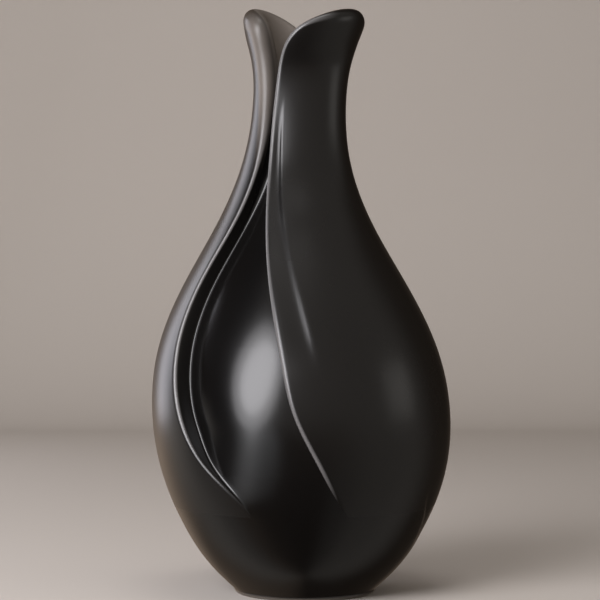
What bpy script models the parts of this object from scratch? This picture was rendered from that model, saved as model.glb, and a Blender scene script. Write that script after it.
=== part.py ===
"""A teardrop vase of black burnished clay, as the leather-hard pieces that a potter makes and lutes together.

An inner vessel is raised in courses: floor disc, bowl, belly course, shoulder course and neck collar.
Two thick petals wrap it. Each is let into a shallow bed in the vessel's wall and rises past the collar into a
flared lip. Between the petals, at the front and at the back, a pointed window shows the vessel.

The origin is at the centre of the flat foot. Azimuth is in degrees from the front (-Y) to the right (+X).
The back is the front turned half a turn, apart from the height of the two lips.
"""

import math

import bmesh
import bpy
import numpy as np

# Outline of the whole pot: (height, radius), in metres
OUTLINE = (
    (0.000, 0.0341),
    (0.011, 0.0458),
    (0.034, 0.0619),
    (0.065, 0.0737),
    (0.096, 0.0766),
    (0.127, 0.0713),
    (0.158, 0.0575),
    (0.189, 0.0403),
    (0.219, 0.0284),
    (0.250, 0.0241),
    (0.274, 0.0262),
    (0.287, 0.0300),
    (0.300, 0.0334),
)
BOW_TO_LEFT = 0.0054  # the most that the hand-built axis strays from upright
BOW_HEIGHT = 0.180  # where it strays the most
LEAN_TO_RIGHT = 0.0011  # how far the flared mouth leans back
LEANING = (0.282, 0.302)  # heights between which it does so
FOOT_CHAMFER = 0.0012

# A petal's leading edge: (height, azimuth)
LEADING_EDGE = (
    (0.041, 18.0),
    (0.054, 12.0),
    (0.073, 4.4),
    (0.096, -3.2),
    (0.116, -6.3),
    (0.135, -9.0),
    (0.165, -15.1),
    (0.195, -23.8),
    (0.228, -33.4),
    (0.241, -35.2),
    (0.259, -32.8),
    (0.2725, -26.4),
    (0.281, -17.3),
)
# The other petal's trailing edge, across the window from it
TRAILING_EDGE = (
    (0.041, -18.5),
    (0.056, -29.0),
    (0.071, -41.0),
    (0.091, -50.5),
    (0.118, -55.8),
    (0.142, -57.2),
    (0.165, -55.4),
    (0.195, -47.5),
    (0.215, -43.7),
    (0.256, -43.8),
    (0.277, -47.3),
    (0.290, -52.5),
)
HALF_TURN = 180.0
# Top of each lip, from the leading edge to the trailing edge: (share of the petal's width, height)
RIGHT_LIP = (
    (0.0, 0.2800),
    (0.1, 0.2868),
    (0.2, 0.2918),
    (0.4, 0.2970),
    (0.6, 0.2982),
    (0.8, 0.2967),
    (1.0, 0.2925),
)
LEFT_LIP = (
    (0.0, 0.2800),
    (0.1, 0.2880),
    (0.2, 0.2942),
    (0.4, 0.3006),
    (0.6, 0.3016),
    (0.8, 0.2998),
    (1.0, 0.2936),
)

# Thickness of the walls
WINDOW_DEPTH = 0.0091  # how far the vessel's wall lies behind the petals
NECK_DEPTH = 0.0082  # the same in the narrow neck
BED_DEPTH = 0.0015  # how deep a petal is let into the vessel's wall
LIP_THICKNESS = 0.0110
LIP_CROWN = 0.0030  # height of the rounded top of a lip
FLOOR_THICKNESS = 0.0085
BOWL_WALL = 0.0080  # from the outside of the pot to the hollow, at the floor
FULL_WALL = 0.0152  # the same where the petals lie over the vessel
COLLAR_WALL = 0.0128  # the same in the neck
LAP_DEPTH = 0.0109  # from the outside of the pot to the beds' floor, which bounds the laps

# Heights (start, end) between which one thickness changes into the next
NECKING = (0.180, 0.240)
BOWL_TO_FULL_WALL = (FLOOR_THICKNESS, 0.055)
FULL_TO_COLLAR_WALL = (0.170, 0.225)

# How the petals' edges rise from flush at the feather line to their full depth
FEATHER_HEIGHT = 0.0450
FULL_EDGE_HEIGHT = 0.0880  # of a trailing edge
LEADING_FULL_HEIGHT = 0.2000  # of a leading edge, which rises slowly
LEADING_RISE = 1.2  # power of the leading edge's rise
WINDOW_RAMP = 1.5  # power of the swell across a window, from its trailing to its leading edge

# Heights of the joints
FLOOR_JOINT = 0.0060
PETAL_FOOT = 0.0410
BOWL_TOP = 0.0650
BELLY_TOP = 0.1270
SHOULDER_TOP = 0.2040
COLLAR_TOP = 0.2460
LAP = 0.0030  # how far one course reaches down inside the one below
SLIP = 0.0003  # film of slip between two pieces
EDGE_SLIP = 0.0006  # the same beside a petal's free edge
BED_SLOPE = 0.0004  # slope of the bed's lower end

PETAL_COLUMNS = 14
WINDOW_COLUMNS = 5
ROW_STEP = 0.0088
LIP_ROWS = 5
SHARP_ANGLE = 35.0  # degrees; flatter edges are shaded smooth

CLAY_COLOUR = (0.020, 0.019, 0.020, 1.0)
PETAL_ROUGHNESS = 0.30
VESSEL_ROUGHNESS = 0.36


class Curve:
    """A smooth curve through a few stations, straight at both ends (a natural cubic spline)."""

    def __init__(self, stations):
        self.at, self.value = np.array(stations, dtype=float).T
        step = np.diff(self.at)
        slope = np.diff(self.value) / step
        matrix = np.eye(len(self.at))
        load = np.zeros(len(self.at))
        for i in range(1, len(self.at) - 1):
            matrix[i, i - 1 : i + 2] = step[i - 1], 2.0 * (step[i - 1] + step[i]), step[i]
            load[i] = 6.0 * (slope[i] - slope[i - 1])
        self.bend = np.linalg.solve(matrix, load)

    def __call__(self, at):
        i = int(np.clip(np.searchsorted(self.at, at) - 1, 0, len(self.at) - 2))
        step = self.at[i + 1] - self.at[i]
        low = (self.at[i + 1] - at) / step
        high = (at - self.at[i]) / step
        curved = (low**3 - low) * self.bend[i] + (high**3 - high) * self.bend[i + 1]
        return low * self.value[i] + high * self.value[i + 1] + curved * step * step / 6.0


outline = Curve(OUTLINE)
leading_edge = Curve(LEADING_EDGE)
trailing_edge = Curve(TRAILING_EDGE)


def smoothstep(start, end, at):
    """0 below start, 1 above end, and an even S between them."""
    share = min(max((at - start) / (end - start), 0.0), 1.0)
    return share * share * (3.0 - 2.0 * share)


def mix(first, second, share):
    return first + (second - first) * share


def axis_x(height):
    """The axis strays to the left in one slow bow, comes back and leans to the right at the lips."""
    bow = math.sin(0.5 * math.pi * height / BOW_HEIGHT) ** 3
    return LEAN_TO_RIGHT * smoothstep(*LEANING, height) - BOW_TO_LEFT * bow


def point(radius, azimuth, height):
    angle = math.radians(azimuth)
    return (axis_x(height) + radius * math.sin(angle), -radius * math.cos(angle), height)


def full_depth(height):
    return mix(WINDOW_DEPTH, NECK_DEPTH, smoothstep(*NECKING, height))


def window_depth(height, share):
    """Depth of the vessel's wall behind the petals, across a window from trailing (0) to leading edge (1)."""
    at_trailing = full_depth(height) * smoothstep(FEATHER_HEIGHT, FULL_EDGE_HEIGHT, height)
    rise = min(max((height - FEATHER_HEIGHT) / (LEADING_FULL_HEIGHT - FEATHER_HEIGHT), 0.0), 1.0)
    at_leading = full_depth(height) * rise**LEADING_RISE
    return mix(at_leading, at_trailing, (1.0 - share) ** WINDOW_RAMP)


def bed_depth(height, share):
    """Depth of the bed under a petal, from its leading (0) to its trailing edge (1)."""
    return window_depth(height, 1.0 - share) + BED_DEPTH


def hollow_radius(height):
    wall = mix(BOWL_WALL, FULL_WALL, smoothstep(*BOWL_TO_FULL_WALL, height))
    wall = mix(wall, COLLAR_WALL, smoothstep(*FULL_TO_COLLAR_WALL, height))
    return outline(height) - wall


def columns(height):
    """Where the vessel's wall is sampled: (azimuth, is under a petal, share across the petal or window)."""
    at = min(max(height, PETAL_FOOT), COLLAR_TOP)
    clear = math.degrees(EDGE_SLIP / outline(at))
    lead = leading_edge(at)
    trail = trailing_edge(at)
    found = []
    for turn in (0.0, HALF_TURN):
        for k in range(WINDOW_COLUMNS + 1):
            share = k / WINDOW_COLUMNS
            found.append((turn + mix(trail + clear, lead - clear, share), False, share))
        for k in range(PETAL_COLUMNS + 1):
            share = k / PETAL_COLUMNS
            ends = (lead - clear / 3.0, trail + HALF_TURN + clear / 3.0)
            found.append((turn + mix(ends[0], ends[1], share), True, share))
    return found


def wall_ring(height, bedded=True):
    """The vessel's outer surface at one height, with the petals' beds or without them."""
    ring = []
    for azimuth, under_petal, share in columns(height):
        if under_petal and bedded:
            depth = bed_depth(height, share)
        else:
            depth = window_depth(height, 1.0 - share if under_petal else share)
        ring.append(point(outline(height) - depth, azimuth, height))
    return ring


def round_ring(radius, height):
    """A true circle with the same columns as the wall."""
    return [point(radius, azimuth, height) for azimuth, _, _ in columns(height)]


def rows(low, high):
    """Heights from low to high, on the same steps for every piece so that facing surfaces run parallel."""
    joints = (FLOOR_JOINT, PETAL_FOOT, BOWL_TOP, BELLY_TOP, SHOULDER_TOP, COLLAR_TOP)
    found = [low]
    for start, end in zip(joints, joints[1:]):
        count = max(2, round((end - start) / ROW_STEP))
        for k in range(count + 1):
            height = mix(start, end, k / count)
            if found[-1] + 2.0 * SLIP < height < high - 2.0 * SLIP:
                found.append(height)
    found.append(high)
    return found


def sweep(rings, wrap):
    """Faces between one ring and the next; wrap joins the last ring to the first."""
    count = len(rings[0])
    verts = [corner for ring in rings for corner in ring]
    faces = []
    for i in range(len(rings) if wrap else len(rings) - 1):
        here = i * count
        above = (i + 1) % len(rings) * count
        for k in range(count):
            nxt = (k + 1) % count
            faces.append((here + k, here + nxt, above + nxt, above + k))
    return verts, faces


def add_object(name, verts, faces, roughness):
    """One closed body with outward faces, its own material and smooth shading except at real edges."""
    mesh = bpy.data.meshes.new(name)
    mesh.from_pydata(verts, [], faces)
    body = bmesh.new()
    body.from_mesh(mesh)
    bmesh.ops.recalc_face_normals(body, faces=body.faces)
    bmesh.ops.triangulate(body, faces=body.faces)
    body.to_mesh(mesh)
    body.free()
    mesh.shade_smooth()
    mesh.set_sharp_from_angle(angle=math.radians(SHARP_ANGLE))
    material = bpy.data.materials.new(name + "_clay")
    material.use_nodes = True
    shader = material.node_tree.nodes["Principled BSDF"]
    shader.inputs["Base Color"].default_value = CLAY_COLOUR
    shader.inputs["Roughness"].default_value = roughness
    shader.inputs["Metallic"].default_value = 0.0
    mesh.materials.append(material)
    made = bpy.data.objects.new(name, mesh)
    bpy.context.scene.collection.objects.link(made)
    return made


def floor_disc():
    """The round slab that the pot stands on; its rim carries the bowl's wall."""
    top = FLOOR_JOINT - SLIP
    rings = [
        round_ring(outline(0.0) - FOOT_CHAMFER, 0.0),
        round_ring(outline(FOOT_CHAMFER), FOOT_CHAMFER),
        round_ring(outline(top), top),
        round_ring(hollow_radius(FLOOR_JOINT) - 2.0 * SLIP, top),
        round_ring(hollow_radius(FLOOR_JOINT) - 2.0 * SLIP, FLOOR_THICKNESS),
    ]
    verts, faces = sweep(rings, wrap=False)
    count = len(rings[0])
    faces.append(tuple(reversed(range(count))))
    faces.append(tuple(range(len(verts) - count, len(verts))))
    add_object("floor_disc", verts, faces, VESSEL_ROUGHNESS)


def lap_radius(height):
    """Middle of the wall, where two courses lap: outside it one piece, inside it the other."""
    return 0.5 * (hollow_radius(height) + outline(height) - LAP_DEPTH) + SLIP


def course(name, low, high, outer):
    """One course of the wall: it laps inside the course below and is lapped by the one above."""
    rings = list(outer)
    if high < COLLAR_TOP:
        rings.append(round_ring(lap_radius(high), high))
        rings.append(round_ring(lap_radius(high), high - LAP))
        inner_top = high - LAP
    else:
        inner_top = high
    if low > FLOOR_JOINT:
        inner_bottom = low - LAP + SLIP
    else:
        inner_bottom = low
    for height in reversed(rows(inner_bottom, inner_top)):
        rings.append(round_ring(hollow_radius(height), height))
    if low > FLOOR_JOINT:
        rings.append(round_ring(lap_radius(low) - SLIP, inner_bottom))
        rings.append(round_ring(lap_radius(low) - SLIP, low + SLIP))
    verts, faces = sweep(rings, wrap=True)
    add_object(name, verts, faces, VESSEL_ROUGHNESS)


def lower_bowl():
    """The bowl is plain below the petals' feet; above, its wall falls back into the beds and windows."""
    plain = [wall_ring(height, bedded=False) for height in rows(FLOOR_JOINT, PETAL_FOOT - BED_SLOPE)]
    bedded = [wall_ring(height) for height in rows(PETAL_FOOT, BOWL_TOP)]
    course("lower_bowl", FLOOR_JOINT, BOWL_TOP, plain + bedded)


def upper_course(name, low, high):
    course(name, low, high, [wall_ring(height) for height in rows(low + SLIP, high)])


def petal(name, turn, lip):
    """A thick slab that wraps a third of the vessel, ends low in its bed and rises into a rounded lip."""
    crest = Curve(lip)
    inside = []
    outside = []
    for height in rows(PETAL_FOOT + SLIP, COLLAR_TOP):
        ends = (leading_edge(height), trailing_edge(height) + HALF_TURN)
        inner_row = []
        outer_row = []
        for k in range(PETAL_COLUMNS + 1):
            share = k / PETAL_COLUMNS
            azimuth = turn + mix(ends[0], ends[1], share)
            inner_radius = outline(height) - bed_depth(height, share) + SLIP
            inner_row.append(point(inner_radius, azimuth, height))
            outer_row.append(point(outline(height), azimuth, height))
        inside.append(inner_row)
        outside.append(outer_row)
    for i in range(1, LIP_ROWS + 1):
        inner_row = []
        outer_row = []
        for k in range(PETAL_COLUMNS + 1):
            share = k / PETAL_COLUMNS
            rise = i / LIP_ROWS
            height = mix(COLLAR_TOP, crest(share) - LIP_CROWN, rise)
            lead = leading_edge(mix(COLLAR_TOP, crest(0.0) - LIP_CROWN, rise))
            trail = trailing_edge(mix(COLLAR_TOP, crest(1.0) - LIP_CROWN, rise)) + HALF_TURN
            azimuth = turn + mix(lead, trail, share)
            inner_row.append(point(outline(height) - LIP_THICKNESS, azimuth, height))
            outer_row.append(point(outline(height), azimuth, height))
        inside.append(inner_row)
        outside.append(outer_row)
    top_row = []
    for k in range(PETAL_COLUMNS + 1):
        share = k / PETAL_COLUMNS
        lead = leading_edge(crest(0.0) - LIP_CROWN)
        trail = trailing_edge(crest(1.0) - LIP_CROWN) + HALF_TURN
        height = crest(share)
        radius = outline(height - LIP_CROWN) - 0.5 * LIP_THICKNESS
        top_row.append(point(radius, turn + mix(lead, trail, share), height))
    # Each loop runs up one side of the slab, over the lip and down the other, at one share of the width
    loops = []
    for k in range(PETAL_COLUMNS + 1):
        up = [row[k] for row in outside]
        down = [row[k] for row in reversed(inside)]
        loops.append(up + [top_row[k]] + down)
    verts, faces = sweep(loops, wrap=False)
    count = len(loops[0])
    last = len(verts) - count
    rungs = len(outside)
    for start in (0, last):
        for i in range(rungs - 1):
            opposite = count - 1 - i
            faces.append((start + i, start + i + 1, start + opposite - 1, start + opposite))
        faces.append((start + rungs - 1, start + rungs, start + rungs + 1))
    add_object(name, verts, faces, PETAL_ROUGHNESS)


def build():
    for old in list(bpy.data.objects):
        bpy.data.objects.remove(old, do_unlink=True)
    floor_disc()
    lower_bowl()
    upper_course("belly_course", BOWL_TOP, BELLY_TOP)
    upper_course("shoulder_course", BELLY_TOP, SHOULDER_TOP)
    upper_course("neck_collar", SHOULDER_TOP, COLLAR_TOP)
    petal("right_petal", 0.0, RIGHT_LIP)
    petal("left_petal", HALF_TURN, LEFT_LIP)


build()
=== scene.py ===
"""The looks of a black burnished clay vase: two thick petals wrapped round an inner vessel.

Azimuth is in degrees from the front (-Y) towards the right (+X), and heights are measured from the foot.
Lengths are in metres. The shape curves below are written for the vase's own height and scaled to the frame.
"""

import math

import bpy
import numpy as np
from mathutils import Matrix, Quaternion, Vector


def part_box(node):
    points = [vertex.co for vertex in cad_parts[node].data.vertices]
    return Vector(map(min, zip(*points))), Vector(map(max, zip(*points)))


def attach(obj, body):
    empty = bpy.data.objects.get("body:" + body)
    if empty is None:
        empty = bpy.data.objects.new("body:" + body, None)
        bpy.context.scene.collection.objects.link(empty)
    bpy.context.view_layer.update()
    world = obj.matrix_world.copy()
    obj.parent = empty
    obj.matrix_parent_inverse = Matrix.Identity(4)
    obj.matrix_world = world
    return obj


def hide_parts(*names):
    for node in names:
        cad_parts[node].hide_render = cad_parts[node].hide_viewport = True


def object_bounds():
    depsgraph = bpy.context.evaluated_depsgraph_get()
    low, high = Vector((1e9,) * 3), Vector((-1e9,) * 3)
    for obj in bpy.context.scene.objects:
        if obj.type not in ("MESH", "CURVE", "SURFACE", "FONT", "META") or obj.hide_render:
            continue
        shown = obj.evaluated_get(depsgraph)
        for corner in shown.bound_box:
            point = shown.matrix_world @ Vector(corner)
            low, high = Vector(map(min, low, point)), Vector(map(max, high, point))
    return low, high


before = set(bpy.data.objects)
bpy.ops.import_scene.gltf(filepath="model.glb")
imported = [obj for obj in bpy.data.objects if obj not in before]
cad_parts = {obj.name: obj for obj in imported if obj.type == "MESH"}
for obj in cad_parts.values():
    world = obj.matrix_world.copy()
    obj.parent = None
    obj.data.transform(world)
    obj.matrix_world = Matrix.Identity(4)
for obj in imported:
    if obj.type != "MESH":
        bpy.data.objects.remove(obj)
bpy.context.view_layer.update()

MM = 0.001
DRAWN_HEIGHT = 301.6 * MM  # the height that the shape curves are written for
FRAME_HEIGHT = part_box("left_petal")[1].z
SCALE = FRAME_HEIGHT / DRAWN_HEIGHT

# Joints, from the frame
FLOOR_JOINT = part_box("lower_bowl")[0].z
PETAL_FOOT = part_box("right_petal")[0].z
BOWL_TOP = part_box("lower_bowl")[1].z
BELLY_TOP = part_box("belly_course")[1].z
SHOULDER_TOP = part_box("shoulder_course")[1].z
COLLAR_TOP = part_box("neck_collar")[1].z
FLOOR_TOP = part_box("floor_disc")[1].z

# Outline of the whole pot: (height, radius) in millimetres
OUTLINE = (
    (0.0, 34.1),
    (11.0, 45.8),
    (34.0, 61.9),
    (65.0, 73.7),
    (96.0, 76.6),
    (127.0, 71.3),
    (158.0, 57.5),
    (189.0, 40.3),
    (219.0, 28.4),
    (250.0, 24.1),
    (274.0, 26.2),
    (287.0, 30.0),
    (300.0, 33.4),
)
BOW_TO_LEFT = 5.4 * MM
BOW_HEIGHT = 180.0 * MM
LEAN_TO_RIGHT = 1.1 * MM
LEANING = (282.0 * MM, 302.0 * MM)

# Free edge of the right petal, up the leading edge, over the lip and down the trailing edge: (azimuth, mm)
LEADING_EDGE = (
    (18.0, 41.0),
    (12.0, 54.0),
    (4.4, 73.0),
    (-3.2, 96.0),
    (-6.3, 116.0),
    (-9.0, 135.0),
    (-15.1, 165.0),
    (-23.8, 195.0),
    (-33.4, 228.0),
    (-35.2, 241.0),
    (-32.8, 259.0),
    (-26.4, 272.5),
    (-17.3, 281.0),
)
RIGHT_LIP = ((-8.0, 286.0), (14.0, 292.6), (42.0, 297.0), (68.0, 298.2), (96.0, 296.6))
LEFT_LIP = ((-8.0, 286.0), (14.0, 294.6), (42.0, 300.8), (68.0, 301.6), (96.0, 299.2))
TRAILING_EDGE = (
    (118.0, 294.5),
    (127.5, 290.0),
    (132.7, 277.0),
    (136.2, 256.0),
    (136.3, 215.0),
    (132.5, 195.0),
    (124.6, 165.0),
    (122.8, 142.0),
    (124.2, 118.0),
    (129.5, 91.0),
    (139.0, 71.0),
    (151.0, 56.0),
    (161.5, 41.0),
)
HALF_TURN = 180.0

# Depths below the petals' outer surface
WINDOW_DEPTH = 9.1 * MM
NECK_DEPTH = 8.2 * MM
BED_DEPTH = 1.5 * MM
LIP_THICKNESS = 11.0 * MM
WINDOW_RAMP = 1.5  # how fast the vessel swells up from the trailing edge towards the leading edge

NECK_DEPTH_HEIGHTS = (180.0 * MM, 240.0 * MM)
LEADING_FULL_HEIGHT = 200.0 * MM  # where a leading edge stands at its full height
LEADING_RISE_POWER = 1.2

# Rounding of the petals' edges: how far it reaches in from the edge, and how deep
LEADING_ROUND = (2.6 * MM, 2.2 * MM)
TRAILING_ROUND = (1.9 * MM, 1.9 * MM)
NECK_TRAILING_ROUND = (4.4 * MM, 4.6 * MM)
LIP_ROUND = (7.5 * MM, 6.3 * MM)
INNER_ROUND = (1.0 * MM, 1.0 * MM)
INNER_LIP_ROUND = (5.0 * MM, 4.2 * MM)
NECK_ROUND_HEIGHTS = (210.0 * MM, 262.0 * MM)
RIM_BAND = 1.6 * MM  # width of the fine rows beside the rounding
COLLAR_RIM = 2.0 * MM  # height of the collar's rounded rim

# Heights over which the paler line along an edge sets in: partly rubbing of the clay, partly a painted
# highlight along the arris
LEADING_WEAR_AND_HIGHLIGHT = (42.0 * MM, 74.0 * MM)
TRAILING_WEAR_AND_HIGHLIGHT = (56.0 * MM, 100.0 * MM)
LIP_WEAR_AND_HIGHLIGHT = 0.15  # what is left of it on the soft edges

# How burnished the clay is, from 0 (dusty) to 1
HALF_BURNISHED = 0.5
LIGHTLY_RUBBED = 0.8
RIM_BURNISH = 0.6
MOUTH_BURNISH = 0.2
ON_NECK_HEIGHTS = (COLLAR_TOP - 20.0 * MM, COLLAR_TOP + 10.0 * MM)
MOUTH_HEIGHTS = (COLLAR_TOP, COLLAR_TOP + 20.0 * MM)
LIP_HEIGHTS = (COLLAR_TOP + 1.0 * MM, COLLAR_TOP + 26.0 * MM)  # where the petals thicken into their lips

# The petals' feet sink into the bowl without a visible step
FEATHER_HEIGHT = 45.0 * MM
FULL_EDGE_HEIGHT = 88.0 * MM  # where a trailing edge first stands at its full height
FOOT_DIVE = 0.35 * MM
BED_DIVE = 20.0  # metres of depth for each square metre of height above the feather line
UNDER_EDGE = 2.6 * MM  # how far the vessel's wall runs on under a petal's edge before it falls into the bed
BED_START = 1.4  # where it has fallen to the bed, in lengths of UNDER_EDGE
BED_END = 1.2 * MM  # how far before the trailing edge the bed ends
LAST_COLUMN = 0.4 * MM  # the last column before the trailing edge

# The fillet where the vessel meets a trailing edge
FILLET = 1.2 * MM
NECK_FILLET = 4.0 * MM
NECK_FILLET_HEIGHTS = (180.0 * MM, 215.0 * MM)
FILLET_SHARES = (0.0, 0.05, 0.15, 0.30, 0.50, 0.75, 1.0)

# The soft crease beside each leading edge, and the heights over which it sets in and fades
CREASE_OFFSET = 12.6  # degrees from the edge
CREASE_DEPTH = 0.8 * MM
CREASE_START = (112.0 * MM, 134.0 * MM)
CREASE_END = (225.0 * MM, 255.0 * MM)

# The flat in the neck beside the leading edge
FLAT_SPAN = 110.0  # degrees
FLAT_DEPTH = 2.8 * MM
FLAT_START = (190.0 * MM, 222.0 * MM)
FLAT_END = (268.0 * MM, 284.0 * MM)

# The faint fold low on the right petal: (height in mm, azimuth), its relief and the highlight painted along
# its shoulder
FOLD_LINE = ((24.0, 77.0), (35.0, 72.5), (43.0, 68.0), (50.0, 63.8), (60.0, 61.0))
FOLD_RELIEF = 1.2 * MM
FOLD_SHARE = 0.39  # where the fold lies between the petal's two edges
FOLD_PULL = 0.75  # how strongly the mesh's columns crowd there
FOLD_STEP = (-4.6 * MM, 1.4 * MM)
FOLD_RECOVERY = 9.0 * MM
FOLD_START = (22.0 * MM, 34.0 * MM)
FOLD_END = (46.0 * MM, 60.0 * MM)
FOLD_HIGHLIGHT = 0.45
FOLD_HIGHLIGHT_NEAR = (-3.6 * MM, -1.8 * MM)
FOLD_HIGHLIGHT_FAR = (-0.9 * MM, 0.9 * MM)
FOLD_HIGHLIGHT_START = (28.0 * MM, 36.0 * MM)
FOLD_HIGHLIGHT_END = (47.0 * MM, 54.0 * MM)

# Walls of the hollow
BOWL_WALL = 8.0 * MM
FULL_WALL = 15.2 * MM
FULL_WALL_HEIGHT = 55.0 * MM
COLLAR_WALL = 12.8 * MM
COLLAR_WALL_HEIGHTS = (170.0 * MM, 225.0 * MM)
LAP_DEPTH = 10.9 * MM
LAP = 3.0 * MM
FOOT_ROUND = 2.2 * MM
SLIP = 0.3 * MM

# Mesh spacing
COARSE_STEP = 5.0 * MM
FINE_STEP = 1.9 * MM
SIDE_COUNT = 150
LIP_COUNT = 110
ARC_COUNT = 7
FACE_COUNT = 4
WINDOW_COLUMNS = 18
BED_COLUMNS = 84


class Curve:
    """A smooth curve through a few stations, straight at both ends (a natural cubic spline)."""

    def __init__(self, at, value):
        self.at = np.asarray(at, dtype=float)
        self.value = np.asarray(value, dtype=float)
        step = np.diff(self.at)
        slope = np.diff(self.value) / step
        matrix = np.eye(len(self.at))
        load = np.zeros(len(self.at))
        for i in range(1, len(self.at) - 1):
            matrix[i, i - 1 : i + 2] = step[i - 1], 2.0 * (step[i - 1] + step[i]), step[i]
            load[i] = 6.0 * (slope[i] - slope[i - 1])
        self.bend = np.linalg.solve(matrix, load)

    def __call__(self, at):
        at = np.asarray(at, dtype=float)
        i = np.clip(np.searchsorted(self.at, at) - 1, 0, len(self.at) - 2)
        step = self.at[i + 1] - self.at[i]
        low = (self.at[i + 1] - at) / step
        high = (at - self.at[i]) / step
        curved = (low**3 - low) * self.bend[i] + (high**3 - high) * self.bend[i + 1]
        return low * self.value[i] + high * self.value[i + 1] + curved * step * step / 6.0


def smoothstep(start, end, at):
    """0 below start, 1 above end, and an even S between them."""
    share = np.clip((np.asarray(at, dtype=float) - start) / (end - start), 0.0, 1.0)
    return share * share * (3.0 - 2.0 * share)


def between(start, end, at):
    """1 between two pairs of limits, 0 outside them, with an even S across each pair."""
    return smoothstep(*start, at) * (1.0 - smoothstep(*end, at))


def mix(first, second, share):
    return first + (second - first) * share


outline_mm = np.array(OUTLINE)
turned_outline = Curve(outline_mm[:, 0] * MM * SCALE, outline_mm[:, 1] * MM * SCALE)


def axis_x(height):
    """The axis strays to the left in one slow bow, comes back and leans to the right at the lips."""
    bow = np.sin(0.5 * np.pi * height / BOW_HEIGHT) ** 3
    return LEAN_TO_RIGHT * smoothstep(*LEANING, height) - BOW_TO_LEFT * bow


def free_edge(lip):
    """Azimuths and heights of points spaced along a petal's free edge, with one at each end of its lip."""
    stations = np.array(LEADING_EDGE + lip + TRAILING_EDGE)
    azimuth = stations[:, 0]
    height = stations[:, 1] * MM * SCALE
    across = np.radians(np.diff(azimuth)) * 0.5 * (turned_outline(height[1:]) + turned_outline(height[:-1]))
    along = np.concatenate([[0.0], np.cumsum(np.hypot(across, np.diff(height)))])
    azimuth_at = Curve(along, azimuth)
    height_at = Curve(along, height)
    corners = along[len(LEADING_EDGE)], along[len(LEADING_EDGE) + len(lip)]
    spots = np.concatenate(
        [
            np.linspace(0.0, corners[0], SIDE_COUNT + 1)[:-1],
            np.linspace(corners[0], corners[1], LIP_COUNT + 1)[:-1],
            np.linspace(corners[1], along[-1], SIDE_COUNT + 1),
        ]
    )
    return azimuth_at(spots), height_at(spots)


right_edge = free_edge(RIGHT_LIP)
left_edge = free_edge(LEFT_LIP)
LEADING_POINTS = slice(0, SIDE_COUNT + 1)
TRAILING_POINTS = slice(SIDE_COUNT + LIP_COUNT, None)


def leading_azimuth(height):
    return np.interp(height, right_edge[1][LEADING_POINTS], right_edge[0][LEADING_POINTS])


def trailing_azimuth(height):
    """Azimuth of the other petal's trailing edge, across the front window."""
    azimuth, at = right_edge[0][TRAILING_POINTS], right_edge[1][TRAILING_POINTS]
    return np.interp(height, at[::-1], azimuth[::-1]) - HALF_TURN


def full_depth(height):
    return mix(WINDOW_DEPTH, NECK_DEPTH, smoothstep(*NECK_DEPTH_HEIGHTS, height))


def window_depth(height, share):
    """Depth of the vessel's wall below the petals, from a window's trailing (0) to its leading edge (1)."""
    at_trailing = full_depth(height) * smoothstep(FEATHER_HEIGHT, FULL_EDGE_HEIGHT, height)
    rise = np.clip((height - FEATHER_HEIGHT) / (LEADING_FULL_HEIGHT - FEATHER_HEIGHT), 0.0, 1.0)
    at_leading = full_depth(height) * rise**LEADING_RISE_POWER
    return mix(at_leading, at_trailing, np.clip(1.0 - share, 0.0, 1.0) ** WINDOW_RAMP)


def fold_across(azimuth, height):
    """Distance to the right of the fold's line."""
    line = np.array(FOLD_LINE)
    middle = Curve(line[:, 0] * MM, line[:, 1])(np.clip(height, line[0, 0] * MM, line[-1, 0] * MM))
    return np.radians((azimuth - middle + HALF_TURN) % 360.0 - HALF_TURN) * turned_outline(height)


def fold_relief(azimuth, height):
    """A short lapped fold low on the right: a small step down to the right that eases back to the surface."""
    across = fold_across(azimuth, height)
    step_down = smoothstep(*FOLD_STEP, across) * np.exp(-np.maximum(across, 0.0) / FOLD_RECOVERY)
    return -FOLD_RELIEF * step_down * between(FOLD_START, FOLD_END, height)


def fold_painted_highlight(azimuth, height):
    """A paler line painted along the shoulder of the fold as its highlight."""
    line = between(FOLD_HIGHLIGHT_NEAR, FOLD_HIGHLIGHT_FAR, fold_across(azimuth, height))
    return FOLD_HIGHLIGHT * line * between(FOLD_HIGHLIGHT_START, FOLD_HIGHLIGHT_END, height)


def crease_relief(azimuth, height):
    """The band beside a leading edge lies a little low and ends in a soft crease."""
    share = (azimuth - leading_azimuth(height)) / CREASE_OFFSET
    band = between((0.0, 0.8), (0.9, 1.2), share)
    return -CREASE_DEPTH * band * between(CREASE_START, CREASE_END, height)


def flat_relief(azimuth, height):
    """In the neck the petal's face is nearly flat beside its leading edge and turned to the front."""
    share = np.clip((azimuth - leading_azimuth(height)) / FLAT_SPAN, 0.0, 1.0)
    hollow = 27.0 / 4.0 * share * (1.0 - share) ** 2  # 1 where it is deepest
    return -FLAT_DEPTH * hollow * between(FLAT_START, FLAT_END, height)


def crowded(count):
    """Even steps from 0 to 1, drawn together where the fold lies."""
    even = np.linspace(0.0, 1.0, count + 1)
    whole_turn = 2.0 * math.pi
    ahead = FOLD_PULL * math.sin(whole_turn * FOLD_SHARE) / whole_turn
    centre = even[np.argmin(np.abs(even + ahead - FOLD_SHARE))]
    crowd = even - FOLD_PULL * np.sin(whole_turn * (even - centre)) / whole_turn
    return crowd - crowd[0]


def hollow_radius(height):
    wall = mix(BOWL_WALL, FULL_WALL, smoothstep(FLOOR_TOP, FULL_WALL_HEIGHT, height))
    wall = mix(wall, COLLAR_WALL, smoothstep(*COLLAR_WALL_HEIGHTS, height))
    return turned_outline(height) - wall


def places(radius, azimuth, height):
    """Points in space for arrays of radius, azimuth and height."""
    radius, azimuth, height = np.broadcast_arrays(radius, azimuth, height)
    angle = np.radians(azimuth)
    return np.stack([axis_x(height) + radius * np.sin(angle), -radius * np.cos(angle), height], axis=-1)


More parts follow.
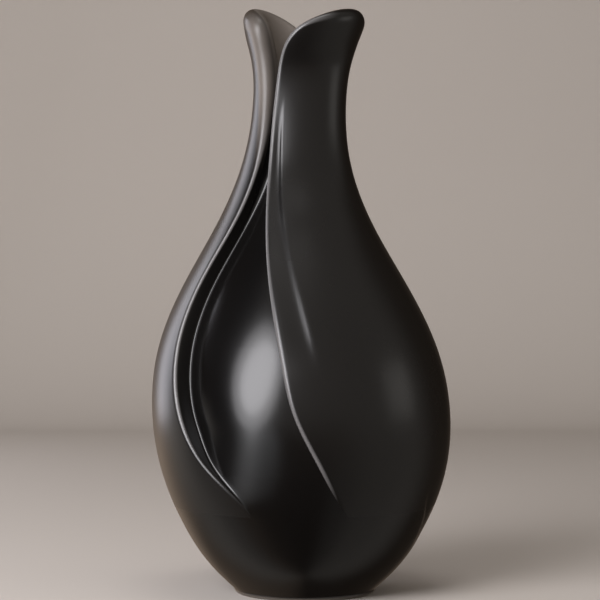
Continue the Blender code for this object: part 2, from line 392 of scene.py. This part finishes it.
def clay_piece(name, node, verts, faces, burnish, edge):
    """One closed piece that stands for a CAD node. Each vertex knows how burnished it is and how much of the
    paler edge colour it takes, partly rubbing and partly painted highlight.
    """
    mesh = bpy.data.meshes.new(name)
    mesh.from_pydata([tuple(v) for v in verts], [], faces)
    mesh.update()
    azimuth = np.degrees(np.arctan2(verts[:, 0] - axis_x(verts[:, 2]), -verts[:, 1]))
    # edge: the paler colour on the edges' roundings, partly rubbing and partly a painted highlight, plus the
    # painted highlight along the fold
    edge = np.maximum(edge, burnish * fold_painted_highlight(azimuth, verts[:, 2]))
    for label, values in (("burnish", burnish), ("edge", edge)):
        layer = mesh.attributes.new(label, "FLOAT", "POINT")
        layer.data.foreach_set("value", np.asarray(values, dtype=np.float32))
    mesh.shade_smooth()
    mesh.set_sharp_from_angle(angle=math.radians(50.0))
    piece = bpy.data.objects.new(name, mesh)
    bpy.context.scene.collection.objects.link(piece)
    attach(piece, "root")
    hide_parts(node)
    return piece


def ring_faces(first, second, count, closed):
    """Faces between two rings of vertices that start at the given numbers."""
    faces = []
    for k in range(count if closed else count - 1):
        nxt = (k + 1) % count
        faces.append((first + k, first + nxt, second + nxt, second + k))
    return faces


# ---- The inner vessel ----

def edge_lean(edge, height):
    """Cosine of a free edge's lean: turns a distance square to the edge into one along a level line."""
    reach = 1.0 * MM
    turn = np.radians(edge(height + reach) - edge(height - reach)) / (2.0 * reach)
    return 1.0 / math.hypot(1.0, float(turn * turned_outline(height)))


def vessel_wall(height):
    """Azimuth and depth of the vessel's outer surface at one height, all the way round."""
    radius = float(turned_outline(height))
    lead = float(leading_azimuth(height))
    trail = float(trailing_azimuth(height))
    trail_lean = edge_lean(trailing_azimuth, height)
    lead_lean = edge_lean(leading_azimuth, height)
    degrees_per_metre = math.degrees(1.0 / radius)
    window = (lead - trail) / degrees_per_metre
    at_trailing = float(window_depth(height, 0.0))
    fillet = float(mix(FILLET, NECK_FILLET, smoothstep(*NECK_FILLET_HEIGHTS, height)))
    fillet_depth = min(fillet, 0.6 * at_trailing)
    fillet_reach = min(max(fillet, 0.5 * MM) / trail_lean, 0.6 * window)
    azimuths = []
    depths = []
    for share in FILLET_SHARES:
        azimuth = trail + share * fillet_reach * degrees_per_metre
        lift = fillet_depth * (1.0 - math.sqrt(1.0 - (1.0 - share) ** 2))
        azimuths.append(azimuth)
        depths.append(float(window_depth(height, (azimuth - trail) / (lead - trail))) - lift)
    for k in range(1, WINDOW_COLUMNS + 1):
        azimuth = mix(trail + fillet_reach * degrees_per_metre, lead, k / WINDOW_COLUMNS)
        azimuths.append(azimuth)
        depths.append(float(window_depth(height, (azimuth - trail) / (lead - trail))))
    under = UNDER_EDGE / lead_lean * degrees_per_metre
    for share in (0.5, 1.0):
        azimuths.append(lead + share * under)
        depths.append(float(window_depth(height, 1.0)))
    bed_fall = min(BED_DEPTH, BED_DIVE * max(height - FEATHER_HEIGHT, 0.0) ** 2)
    bed_start = lead + BED_START * under
    bed_end = trail + HALF_TURN - BED_END / trail_lean * degrees_per_metre
    for bed_share in crowded(BED_COLUMNS):
        azimuth = mix(bed_start, bed_end, bed_share)
        share = (azimuth - lead) / (trail + HALF_TURN - lead)
        azimuths.append(azimuth)
        depths.append(float(window_depth(height, 1.0 - share)) + bed_fall)
    azimuths.append(trail + HALF_TURN - LAST_COLUMN / trail_lean * degrees_per_metre)
    depths.append(at_trailing - 0.5 * fillet_depth)
    azimuth = np.array(azimuths)
    depth = np.array(depths)
    return np.concatenate([azimuth, azimuth + HALF_TURN]), np.concatenate([depth, depth])


def wall_ring(height):
    azimuth, depth = vessel_wall(height)
    return places(turned_outline(height) + fold_relief(azimuth, height) - depth, azimuth, height)


def round_ring(radius, height):
    azimuth, _ = vessel_wall(height)
    return places(radius, azimuth, height)


def levels(low, high, step):
    """Evenly spaced heights, with one more very close to each end so that shading meets its neighbour's."""
    count = max(2, round((high - low) / step))
    beside = 0.15 * MM
    middle = np.linspace(low, high, count + 1)[1:-1]
    return [low, low + beside, *middle, high - beside, high]


def feather_levels(low, high, step):
    """The same, with a row exactly on the feather line."""
    if low < FEATHER_HEIGHT < high:
        below = levels(low, FEATHER_HEIGHT, step)[:-2]
        above = levels(FEATHER_HEIGHT, high, step)[2:]
        return below + [FEATHER_HEIGHT] + above
    return levels(low, high, step)


def lap_radius(height):
    return 0.5 * float(hollow_radius(height) + turned_outline(height) - LAP_DEPTH) + SLIP


def ring_piece(name, node, rings, burnish, wrap, cap=()):
    """A piece made of rings round the axis. wrap joins last to first, and cap fills the rings it names."""
    count = len(rings[0])
    faces = []
    for i in range(len(rings) if wrap else len(rings) - 1):
        faces += ring_faces(i * count, (i + 1) % len(rings) * count, count, True)
    if "first" in cap:
        faces.append(tuple(reversed(range(count))))
    if "last" in cap:
        faces.append(tuple(range((len(rings) - 1) * count, len(rings) * count)))
    verts = np.concatenate(rings)
    values = np.repeat(np.asarray(burnish, dtype=float), count)
    return clay_piece(name, node, verts, faces, values, np.zeros(len(verts)))


def floor_disc():
    """The slab that the vase stands on: flat underneath, with a tight rounded foot edge."""
    rings = []
    burnish = []
    foot_radius = float(turned_outline(FOOT_ROUND)) - FOOT_ROUND
    for share in (0.35, 0.7, 0.93):
        rings.append(round_ring(foot_radius * share, 0.0))
        burnish.append(0.0)
    for k in range(ARC_COUNT + 1):
        angle = 0.5 * math.pi * k / ARC_COUNT
        height = FOOT_ROUND * (1.0 - math.cos(angle))
        rings.append(round_ring(foot_radius + FOOT_ROUND * math.sin(angle), height))
        burnish.append(k / ARC_COUNT)
    for height in levels(FOOT_ROUND, FLOOR_JOINT, FINE_STEP)[1:]:
        rings.append(wall_ring(height))
        burnish.append(1.0)
    top_radius = float(hollow_radius(FLOOR_TOP)) - SLIP
    rings.append(round_ring(float(hollow_radius(FLOOR_JOINT)) - SLIP, FLOOR_JOINT))
    burnish.append(0.0)
    for share in (1.0, 0.8, 0.4):
        rings.append(round_ring(top_radius * share, FLOOR_TOP))
        burnish.append(0.0)
    return ring_piece("floor_disc_clay", "floor_disc", rings, burnish, False, ("first", "last"))


def course(name, node, low, high):
    """One course of the vessel's wall: it laps inside the course below and is lapped by the one above."""
    is_top = high >= COLLAR_TOP
    is_bottom = low <= FLOOR_JOINT
    outer_top = high - COLLAR_RIM if is_top else high
    rings = [wall_ring(height) for height in feather_levels(low, outer_top, FINE_STEP)]
    inner_rings = []
    if is_top:
        outer = wall_ring(outer_top)
        inner = round_ring(hollow_radius(outer_top), outer_top)
        for k in range(1, 2 * ARC_COUNT):
            angle = math.pi * k / (2 * ARC_COUNT)
            ring = mix(outer, inner, 0.5 - 0.5 * math.cos(angle))
            ring[:, 2] = outer_top + COLLAR_RIM * math.sin(angle)
            rings.append(ring)
        inner_top = outer_top
    else:
        inner_rings.append(round_ring(lap_radius(high), high))
        inner_rings.append(round_ring(lap_radius(high), high - LAP))
        inner_top = high - LAP
    inner_bottom = low if is_bottom else low - LAP
    for height in reversed(levels(inner_bottom, inner_top, COARSE_STEP)):
        inner_rings.append(round_ring(hollow_radius(height), height))
    if not is_bottom:
        inner_rings.append(round_ring(lap_radius(low) - SLIP, inner_bottom))
        inner_rings.append(round_ring(lap_radius(low) - SLIP, low))
    burnish = [1.0] * len(rings) + [0.0] * len(inner_rings)
    return ring_piece(name, node, rings + inner_rings, burnish, True)


# ---- The petals ----


def petal_depth(azimuth, height):
    """Depth of a petal's inner face below the outline: on its bed, then the lip's own thickness."""
    lead = leading_azimuth(height)
    trail = trailing_azimuth(height) + HALF_TURN
    share = np.clip((azimuth - lead) / (trail - lead), 0.0, 1.0)
    on_bed = window_depth(height, 1.0 - share) + BED_DEPTH - SLIP
    return mix(on_bed, LIP_THICKNESS, smoothstep(*LIP_HEIGHTS, height))


def foot_dive(height):
    """How far a petal's outer face sinks below the outline near its foot."""
    return FOOT_DIVE * (np.maximum(FEATHER_HEIGHT - height, 0.0) / (FEATHER_HEIGHT - PETAL_FOOT)) ** 2


class EdgeFrame:
    """The petal's free edge with its inward direction, so that rows can be laid at a distance from it."""

    def __init__(self, azimuth, height):
        self.azimuth = azimuth
        self.height = height
        self.radius = turned_outline(height)
        reach = 0.5 * MM
        slope = (turned_outline(height + reach) - turned_outline(height - reach)) / (2.0 * reach)
        self.stretch = np.hypot(1.0, slope)
        along_x = np.gradient(np.radians(azimuth)) * self.radius
        along_z = np.gradient(height) * self.stretch
        length = np.hypot(along_x, along_z)
        inward = np.stack([along_z / length, -along_x / length], axis=-1)
        level = np.zeros_like(inward)
        middle = len(azimuth) // 2
        level[:middle, 0] = 1.0
        level[middle:, 0] = -1.0
        blend = smoothstep(PETAL_FOOT, PETAL_FOOT + 14.0 * MM, height)[:, None]
        aim = mix(level, inward, blend)
        aim /= np.linalg.norm(aim, axis=1)[:, None]
        self.aim = aim / np.sum(aim * inward, axis=1)[:, None]

    def at(self, distance):
        """Azimuth and height at a distance inwards from the edge."""
        azimuth = self.azimuth + np.degrees(distance * self.aim[:, 0] / self.radius)
        return azimuth, self.height + distance * self.aim[:, 1] / self.stretch


def coons_grid(azimuth, height):
    """Fills a petal inside a row of points along its free edge: sides, lip and a level foot."""
    edge = np.stack([azimuth, height], axis=-1)
    left = edge[: SIDE_COUNT + 1]
    top = edge[SIDE_COUNT : SIDE_COUNT + LIP_COUNT + 1]
    right = edge[SIDE_COUNT + LIP_COUNT :][::-1]
    across = crowded(LIP_COUNT)[None, :, None]
    up = np.linspace(0.0, 1.0, SIDE_COUNT + 1)[:, None, None]
    foot = mix(left[0], right[0], across[0])
    sides = mix(left[:, None], right[:, None], across)
    ends = mix(foot[None], top[None], up)
    corners = mix(mix(left[0], right[0], across), mix(left[-1], right[-1], across), up)
    return sides + ends - corners


def mouth_burnish(height):
    """The petals' inner faces show only above the collar, where the stone passed lightly."""
    return MOUTH_BURNISH * smoothstep(*MOUTH_HEIGHTS, height)


def petal(name, node, turn, edge_line, has_fold):
    """A thick slab with rounded edges, flared to a rolled lip and feathered into the bowl at its foot."""
    edge = EdgeFrame(*edge_line)
    count = len(edge.azimuth)
    number = np.arange(count)
    height = edge.height
    # 0 on the plain edges, 1 on the lip
    rising = smoothstep(SIDE_COUNT - 2, SIDE_COUNT + 0.45 * LIP_COUNT, number)
    falling = smoothstep(SIDE_COUNT + LIP_COUNT, SIDE_COUNT + 1.45 * LIP_COUNT, number)
    on_lip = rising * (1.0 - falling)
    is_trailing = smoothstep(SIDE_COUNT + 0.3 * LIP_COUNT, SIDE_COUNT + 0.9 * LIP_COUNT, number)
    thickness = petal_depth(edge.azimuth, height)
    in_neck = smoothstep(*NECK_ROUND_HEIGHTS, height)
    rounds = []
    for part in (0, 1):
        trailing = mix(TRAILING_ROUND[part], NECK_TRAILING_ROUND[part], in_neck)
        plain = mix(LEADING_ROUND[part], trailing, is_trailing)
        rounds.append(mix(plain, LIP_ROUND[part], on_lip))
    reach, drop = rounds
    drop = np.minimum(drop, 0.6 * thickness)
    soft_inside = np.maximum(on_lip, in_neck * is_trailing)
    inner_reach = mix(INNER_ROUND[0], INNER_LIP_ROUND[0], soft_inside)
    inner_drop = np.minimum(mix(INNER_ROUND[1], INNER_LIP_ROUND[1], soft_inside), 0.38 * thickness)
    # The paler edge line, partly rubbing and partly a painted highlight, fades out towards the foot and is
    # mostly left off the lip and the neck's trailing edge
    foot_fade = mix(smoothstep(*LEADING_WEAR_AND_HIGHLIGHT, height), smoothstep(*TRAILING_WEAR_AND_HIGHLIGHT, height), is_trailing)
    wear_and_highlight_share = foot_fade * (1.0 - (1.0 - LIP_WEAR_AND_HIGHLIGHT) * soft_inside)

    def outer_radius(azimuth, at):
        relief = crease_relief(azimuth, at) + flat_relief(azimuth, at)
        if has_fold:
            relief = relief + fold_relief(azimuth, at)
        return turned_outline(at) + relief - foot_dive(at)

    def inner_radius(azimuth, at):
        return turned_outline(at) - petal_depth(azimuth, at)

    on_neck = smoothstep(*ON_NECK_HEIGHTS, height)
    # 1 on the trailing edge of the neck, whose wide rounding is only half burnished
    half_burnished = in_neck * smoothstep(SIDE_COUNT + 0.8 * LIP_COUNT, SIDE_COUNT + 1.05 * LIP_COUNT, number)
    outer_burnish = mix(1.0, HALF_BURNISHED, half_burnished)
    face_burnish = mix(1.0, LIGHTLY_RUBBED, half_burnished)
    rings = []
    burnish = []
    wear_and_highlight = []

    def add_ring(radius, azimuth, at, burnished, worn_and_highlit=0.0):
        rings.append(places(radius, azimuth + turn, at))
        burnish.append(burnished)
        wear_and_highlight.append(worn_and_highlit * wear_and_highlight_share)

    for share in (1.0, 0.4):
        azimuth, at = edge.at(reach + RIM_BAND * share)
        add_ring(outer_radius(azimuth, at), azimuth, at, mix(outer_burnish, 1.0, 0.5 * share))
    # The paler edge colour peaks midway round the outer rounding, where it paints the arris highlight
    for k in range(ARC_COUNT + 1):
        angle = 0.5 * math.pi * k / ARC_COUNT
        azimuth, at = edge.at(reach * (1.0 - math.sin(angle)))
        radius = outer_radius(azimuth, at) - drop * (1.0 - math.cos(angle))
        burnished = mix(outer_burnish, face_burnish, k / ARC_COUNT)
        add_ring(radius, azimuth, at, burnished, math.sin(2.0 * angle))
    azimuth, at = edge.at(np.zeros(count))
    for k in range(1, FACE_COUNT):
        share = k / FACE_COUNT
        outer = outer_radius(azimuth, at) - drop
        inner = inner_radius(azimuth, at) + inner_drop
        add_ring(mix(outer, inner, share), azimuth, at, mix(face_burnish, RIM_BURNISH, on_neck * share))
    for k in range(ARC_COUNT + 1):
        angle = 0.5 * math.pi * k / ARC_COUNT
        azimuth, at = edge.at(inner_reach * (1.0 - math.cos(angle)))
        radius = inner_radius(azimuth, at) + inner_drop * (1.0 - math.sin(angle))
        burnished = mix(1.0, mix(RIM_BURNISH, MOUTH_BURNISH, math.sin(angle)), on_neck)
        add_ring(radius, azimuth, at, burnished)
    for share in (0.4, 1.0):
        azimuth, at = edge.at(inner_reach + RIM_BAND * share)
        add_ring(inner_radius(azimuth, at), azimuth, at, mouth_burnish(height))

    faces = []
    for i in range(len(rings) - 1):
        faces += [face[::-1] for face in ring_faces(i * count, (i + 1) * count, count, False)]
    verts = [np.concatenate(rings)]
    burnish = [np.concatenate(burnish)]
    wear_and_highlight = [np.concatenate(wear_and_highlight)]

    def fill(ring, distance, radius_at, outward):
        """Adds the grid inside one ring and returns the vertex numbers of its foot row."""
        grid = coons_grid(*edge.at(distance))
        rows, columns = grid.shape[:2]
        index = np.zeros((rows, columns), dtype=int)
        start = ring * count
        index[:, 0] = start + np.arange(rows)
        index[-1, :] = start + SIDE_COUNT + np.arange(columns)
        index[:, -1] = start + count - 1 - np.arange(rows)
        inside = grid[:-1, 1:-1]
        first = sum(len(part) for part in verts)
        index[:-1, 1:-1] = first + np.arange(inside.shape[0] * inside.shape[1]).reshape(inside.shape[:2])
        azimuth = inside[..., 0].ravel()
        at = inside[..., 1].ravel()
        verts.append(places(radius_at(azimuth, at), azimuth + turn, at))
        burnish.append(np.ones(len(at)) if outward else mouth_burnish(at))
        wear_and_highlight.append(np.zeros(len(at)))
        for i in range(rows - 1):
            for k in range(columns - 1):
                face = (index[i, k], index[i, k + 1], index[i + 1, k + 1], index[i + 1, k])
                faces.append(tuple(int(n) for n in (face if outward else face[::-1])))
        return index[0]

    outer_foot = fill(0, reach + RIM_BAND, outer_radius, True)
    inner_foot = fill(len(rings) - 1, inner_reach + RIM_BAND, inner_radius, False)
    for k in range(LIP_COUNT):
        face = (inner_foot[k], inner_foot[k + 1], outer_foot[k + 1], outer_foot[k])
        faces.append(tuple(int(n) for n in face))
    faces.append(tuple(i * count for i in range(len(rings))))
    faces.append(tuple(i * count + count - 1 for i in reversed(range(len(rings)))))
    verts = np.concatenate(verts)
    return clay_piece(name, node, verts, faces, np.concatenate(burnish), np.concatenate(wear_and_highlight))


pieces = [
    floor_disc(),
    course("lower_bowl_clay", "lower_bowl", FLOOR_JOINT, BOWL_TOP),
    course("belly_course_clay", "belly_course", BOWL_TOP, BELLY_TOP),
    course("shoulder_course_clay", "shoulder_course", BELLY_TOP, SHOULDER_TOP),
    course("neck_collar_clay", "neck_collar", SHOULDER_TOP, COLLAR_TOP),
    petal("right_petal_clay", "right_petal", 0.0, right_edge, True),
    petal("left_petal_clay", "left_petal", HALF_TURN, left_edge, False),
]

# ---- Materials ----


def clay_material(name, colour, roughness):
    """Black clay: burnished outside with fine strokes, matte and dusty where the stone never reached."""
    material = bpy.data.materials.new(name)
    material.use_nodes = True
    tree = material.node_tree
    nodes = tree.nodes
    links = tree.links
    shader = nodes["Principled BSDF"]

    def add(kind, **settings):
        node = nodes.new(kind)
        for key, value in settings.items():
            setattr(node, key, value)
        return node

    def noise(scale, detail, stretch=(1.0, 1.0, 1.0)):
        mapping = add("ShaderNodeMapping")
        mapping.inputs["Scale"].default_value = stretch
        links.new(coordinates.outputs["Object"], mapping.inputs["Vector"])
        texture = add("ShaderNodeTexNoise")
        texture.inputs["Scale"].default_value = scale
        texture.inputs["Detail"].default_value = detail
        links.new(mapping.outputs["Vector"], texture.inputs["Vector"])
        return texture.outputs["Fac"]

    def remap(value, low, high, to_low, to_high):
        node = add("ShaderNodeMapRange")
        node.inputs["From Min"].default_value = low
        node.inputs["From Max"].default_value = high
        node.inputs["To Min"].default_value = to_low
        node.inputs["To Max"].default_value = to_high
        links.new(value, node.inputs["Value"])
        return node.outputs["Result"]

    def blend(kind, share, first, second):
        """Mixes two colours (RGBA) or two values (FLOAT), each given as it is or as a node's output."""
        node = add("ShaderNodeMix", data_type=kind)
        for socket, value in ((node.inputs["A"], first), (node.inputs["B"], second)):
            if isinstance(value, bpy.types.NodeSocket):
                links.new(value, socket)
            else:
                socket.default_value = value
        links.new(share, node.inputs["Factor"])
        return node.outputs["Result"]

    coordinates = add("ShaderNodeTexCoord")
    burnish = add("ShaderNodeAttribute", attribute_name="burnish").outputs["Fac"]
    # edge: how much paler grey a point takes, partly rubbing and partly a painted highlight along the arrises
    # and the fold
    edge = add("ShaderNodeAttribute", attribute_name="edge").outputs["Fac"]

    smoke = noise(14.0, 3.0)
    grain = noise(2600.0, 2.0)
    strokes = noise(420.0, 2.0, (1.0, 1.0, 0.10))

    lighter = tuple(c * 1.3 for c in colour) + (1.0,)
    darker = tuple(c * 0.7 for c in colour) + (1.0,)
    # Paler grey laid on the edges: partly rubbing of the clay, partly a painted highlight along the arrises
    worn_and_highlit = (0.150, 0.145, 0.145, 1.0)
    dusty = (0.230, 0.200, 0.175, 1.0)
    outside = blend("RGBA", smoke, darker, lighter)
    outside = blend("RGBA", remap(edge, 0.25, 1.0, 0.0, 0.75), outside, worn_and_highlit)
    links.new(blend("RGBA", burnish, dusty, outside), shader.inputs["Base Color"])

    satin = blend("FLOAT", smoke, roughness - 0.04, roughness + 0.04)
    links.new(blend("FLOAT", burnish, 0.62, satin), shader.inputs["Roughness"])
    shader.inputs["Metallic"].default_value = 0.0
    shader.inputs["IOR"].default_value = 1.45

    height = blend("FLOAT", burnish, grain, strokes)
    bump = add("ShaderNodeBump")
    bump.inputs["Distance"].default_value = 0.02 * MM
    links.new(blend("FLOAT", burnish, 1.0, 0.25), bump.inputs["Strength"])
    links.new(height, bump.inputs["Height"])
    links.new(bump.outputs["Normal"], shader.inputs["Normal"])
    return material


clays = {
    "petal_clay": clay_material("petal_clay", (0.0046, 0.0041, 0.0038), 0.28),
    "vessel_clay": clay_material("vessel_clay", (0.0028, 0.0025, 0.0024), 0.20),
}
for piece in pieces:
    slot = "petal_clay" if "petal" in piece.name else "vessel_clay"
    piece.data.materials.append(clays[slot])

# ---- Stage, light and camera ----

BOTTOM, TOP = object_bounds()
MIDDLE = 0.5 * (BOTTOM.z + TOP.z)


def plain_material(name, colour, roughness):
    material = bpy.data.materials.new(name)
    material.use_nodes = True
    shader = material.node_tree.nodes["Principled BSDF"]
    shader.inputs["Base Color"].default_value = (*colour, 1.0)
    shader.inputs["Roughness"].default_value = roughness
    return material


def sweep_backdrop():
    """A pale floor that curves up into a wall behind."""
    bend = 0.35
    depth = 1.5
    front = -1.6
    width = 6.0
    top = 2.6
    bend_count = 24
    outline = [(front, 0.0), (depth - bend, 0.0)]
    for k in range(1, bend_count + 1):
        angle = 0.5 * math.pi * k / bend_count
        outline.append((depth - bend + bend * math.sin(angle), bend * (1.0 - math.cos(angle))))
    outline.append((depth, top))
    verts = [(side * width / 2.0, y, z) for y, z in outline for side in (-1.0, 1.0)]
    faces = [(2 * i, 2 * i + 1, 2 * i + 3, 2 * i + 2) for i in range(len(outline) - 1)]
    mesh = bpy.data.meshes.new("backdrop")
    mesh.from_pydata(verts, [], faces)
    mesh.shade_smooth()
    mesh.materials.append(plain_material("pale_backdrop", (0.52, 0.48, 0.44), 0.8))
    backdrop = bpy.data.objects.new("backdrop", mesh)
    bpy.context.scene.collection.objects.link(backdrop)
    backdrop.visible_glossy = False


def softbox(name, azimuth, elevation, distance, size, power, colour, shape="RECTANGLE", roll=0.0):
    """A soft light that faces the middle of the vase, rolled about its own axis. Angles are in degrees."""
    light = bpy.data.lights.new(name, "AREA")
    light.shape = shape
    light.size, light.size_y = size
    light.energy = power
    light.color = colour
    lamp = bpy.data.objects.new(name, light)
    around = math.radians(azimuth)
    up = math.radians(elevation)
    lamp.location = (
        distance * math.sin(around) * math.cos(up),
        -distance * math.cos(around) * math.cos(up),
        MIDDLE + distance * math.sin(up),
    )
    aim = Vector((0.0, 0.0, MIDDLE)) - lamp.location
    lamp.rotation_mode = "QUATERNION"
    lamp.rotation_quaternion = aim.to_track_quat("-Z", "Y") @ Quaternion((0.0, 0.0, 1.0), math.radians(roll))
    bpy.context.scene.collection.objects.link(lamp)


def camera(distance, height, lens, across):
    """Level and in front of the vase, looking along +Y."""
    data = bpy.data.cameras.new("camera")
    data.lens = lens
    data.sensor_width = 36.0
    data.clip_start = 0.01
    made = bpy.data.objects.new("camera", data)
    made.location = (across, -distance, height)
    made.rotation_euler = (0.5 * math.pi, 0.0, 0.0)
    bpy.context.scene.collection.objects.link(made)
    bpy.context.scene.camera = made


WARM = (1.0, 0.76, 0.58)
NEUTRAL = (1.0, 0.92, 0.84)
COOL = (0.96, 0.97, 1.0)
LAMP_WHITE = (0.98, 0.965, 1.0)
LAVENDER = (0.93, 0.92, 1.0)

# What the clay reflects besides the lamps: (azimuth, level, tint), above, below and far below the horizon
SURROUND_ABOVE = (
    (-180.0, 0.16, WARM),
    (-145.0, 0.30, WARM),
    (-118.0, 0.02, WARM),
    (-70.0, 0.01, COOL),
    (-28.0, 0.36, NEUTRAL),
    (5.0, 0.38, NEUTRAL),
    (85.0, 0.38, NEUTRAL),
    (122.0, 0.07, WARM),
    (150.0, 0.03, WARM),
    (180.0, 0.16, WARM),
)
SURROUND_BELOW = (
    (-180.0, 0.25, WARM),
    (-140.0, 0.80, WARM),
    (-110.0, 0.80, NEUTRAL),
    (-92.0, 0.05, COOL),
    (-76.0, 0.04, COOL),
    (-54.0, 1.90, COOL),
    (-38.0, 1.10, COOL),
    (-20.0, 0.12, WARM),
    (20.0, 0.12, WARM),
    (55.0, 0.36, NEUTRAL),
    (90.0, 0.36, NEUTRAL),
    (125.0, 0.07, WARM),
    (150.0, 0.04, WARM),
    (180.0, 0.25, WARM),
)
SURROUND_STEEP = (
    (-180.0, 0.05, WARM),
    (-140.0, 0.25, WARM),
    (-102.0, 0.50, NEUTRAL),
    (-85.0, 0.34, NEUTRAL),
    (-62.0, 0.20, WARM),
    (-42.0, 0.08, WARM),
    (-10.0, 0.045, WARM),
    (10.0, 0.045, WARM),
    (35.0, 0.18, NEUTRAL),
    (60.0, 0.34, NEUTRAL),
    (95.0, 0.36, NEUTRAL),
    (130.0, 0.06, WARM),
    (180.0, 0.05, WARM),
)


# The levels of a direction's Z between which one surround turns into the next
STEEP_TO_BELOW = (-0.52, -0.16)
BELOW_TO_ABOVE = (-0.16, 0.02)


def studio_world():
    """A soft surround that the burnished clay reflects: even in front and dark on the flanks."""
    made = bpy.data.worlds.new("studio")
    made.use_nodes = True
    nodes = made.node_tree.nodes
    links = made.node_tree.links
    coordinates = nodes.new("ShaderNodeTexCoord")
    split = nodes.new("ShaderNodeSeparateXYZ")
    links.new(coordinates.outputs["Generated"], split.inputs["Vector"])
    forward = nodes.new("ShaderNodeMath")
    forward.operation = "MULTIPLY"
    forward.inputs[1].default_value = -1.0
    links.new(split.outputs["Y"], forward.inputs[0])
    azimuth = nodes.new("ShaderNodeMath")
    azimuth.operation = "ARCTAN2"
    links.new(split.outputs["X"], azimuth.inputs[0])
    links.new(forward.outputs["Value"], azimuth.inputs[1])
    turn = nodes.new("ShaderNodeMapRange")
    turn.inputs["From Min"].default_value = -math.pi
    turn.inputs["From Max"].default_value = math.pi
    links.new(azimuth.outputs["Value"], turn.inputs["Value"])

    def around(surround):
        ramp = nodes.new("ShaderNodeValToRGB")
        ramp.color_ramp.interpolation = "EASE"
        links.new(turn.outputs["Result"], ramp.inputs["Fac"])
        stops = ramp.color_ramp.elements
        while len(stops) < len(surround):
            stops.new(0.5)
        for stop, (at, level, tint) in zip(stops, surround):
            stop.position = (at + HALF_TURN) / 360.0
            stop.color = (*(level * c for c in tint), 1.0)
        return ramp.outputs["Color"]

    def over(lower, upper, start, end):
        """One colour below a level of the direction's Z, another above it, and a ramp between."""
        level = nodes.new("ShaderNodeMapRange")
        level.inputs["From Min"].default_value = start
        level.inputs["From Max"].default_value = end
        links.new(split.outputs["Z"], level.inputs["Value"])
        both = nodes.new("ShaderNodeMix")
        both.data_type = "RGBA"
        links.new(level.outputs["Result"], both.inputs["Factor"])
        links.new(lower, both.inputs["A"])
        links.new(upper, both.inputs["B"])
        return both.outputs["Result"]

    down = over(around(SURROUND_STEEP), around(SURROUND_BELOW), *STEEP_TO_BELOW)
    colour = over(down, around(SURROUND_ABOVE), *BELOW_TO_ABOVE)
    links.new(colour, nodes["Background"].inputs["Color"])
    bpy.context.scene.world = made


sweep_backdrop()
studio_world()
softbox("key", -42.0, 17.0, 1.2, (0.88, 1.5), 16.5, LAMP_WHITE, shape="ELLIPSE", roll=-35.0)
softbox("key_core", -41.0, 17.0, 1.15, (0.55, 1.0), 9.0, LAMP_WHITE, shape="ELLIPSE", roll=-35.0)
softbox("left_rim", -127.0, 10.0, 1.2, (0.5, 0.8), 3.8, LAVENDER)
softbox("right_fill", 80.0, 8.0, 1.2, (0.5, 0.42), 0.5, (1.0, 0.97, 0.93))
softbox("top", 0.0, 80.0, 1.2, (0.5, 0.5), 2.4, (1.0, 0.98, 0.96))
camera(distance=0.95, height=150.0 * MM * SCALE, lens=110.4, across=-2.65 * MM)
bpy.context.scene.view_settings.view_transform = "Standard"
